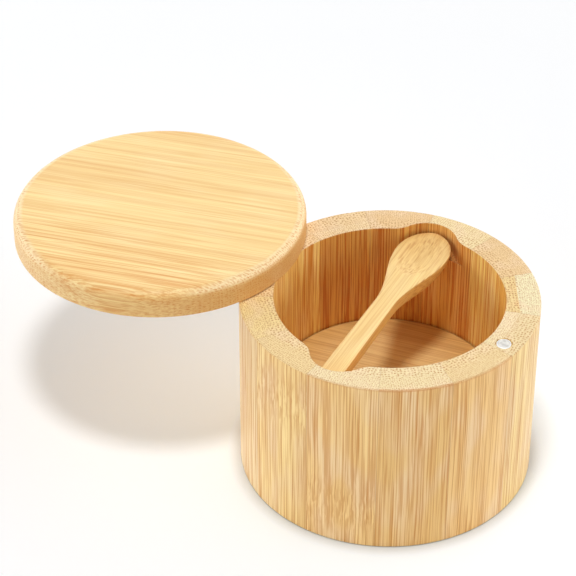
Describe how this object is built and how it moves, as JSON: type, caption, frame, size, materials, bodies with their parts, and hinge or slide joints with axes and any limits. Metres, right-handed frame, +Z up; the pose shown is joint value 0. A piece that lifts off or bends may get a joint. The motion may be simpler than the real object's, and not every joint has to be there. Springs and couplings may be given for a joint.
{
  "type": "salt box",
  "caption": "Round bamboo salt box with a swivel lid on a pivot pin, a magnet catch and a small spoon lying in two notches across the well.",
  "frame": {"origin": "centre of the underside of the box", "axes": "+Z up along the axis of the box; +X from the pivot pin to the magnet in the rim"},
  "size_m": [0.1659, 0.1037, 0.0691],
  "materials": {
    "wall_bamboo": "sanded, clear oiled bamboo, grain upright",
    "floor_bamboo": "sanded, clear oiled bamboo, grain lying flat",
    "lid_bamboo": "sanded, clear oiled bamboo, grain along the lid",
    "spoon_bamboo": "sanded, clear oiled bamboo",
    "steel": "ground steel",
    "magnet_plating": "matte nickel plating"
  },
  "bodies": {
    "box": {"stave_1": "wall_bamboo", "stave_2": "wall_bamboo", "stave_3": "wall_bamboo", "stave_4": "wall_bamboo", "stave_5": "wall_bamboo", "stave_6": "wall_bamboo", "stave_7": "wall_bamboo", "stave_8": "wall_bamboo", "stave_9": "wall_bamboo", "stave_10": "wall_bamboo", "stave_11": "wall_bamboo", "stave_12": "wall_bamboo", "stave_13": "wall_bamboo", "floor_plug": "floor_bamboo", "pivot_pin": "steel", "rim_magnet": "magnet_plating"},
    "lid": {"lid": "lid_bamboo", "lid_magnet": "magnet_plating"},
    "spoon": {"spoon": "spoon_bamboo"}
  },
  "joints": [
    {"name": "lid_swivel", "type": "hinge", "parent": "box", "child": "lid", "pos_m": [-0.0392, 0, 0.0603], "axis": [0, 0, 1], "continuous": true},
    {"name": "spoon_lift", "type": "slide", "parent": "box", "child": "spoon", "axis": [0, 0, 1], "range_m": [0, 0.04]}
  ]
}
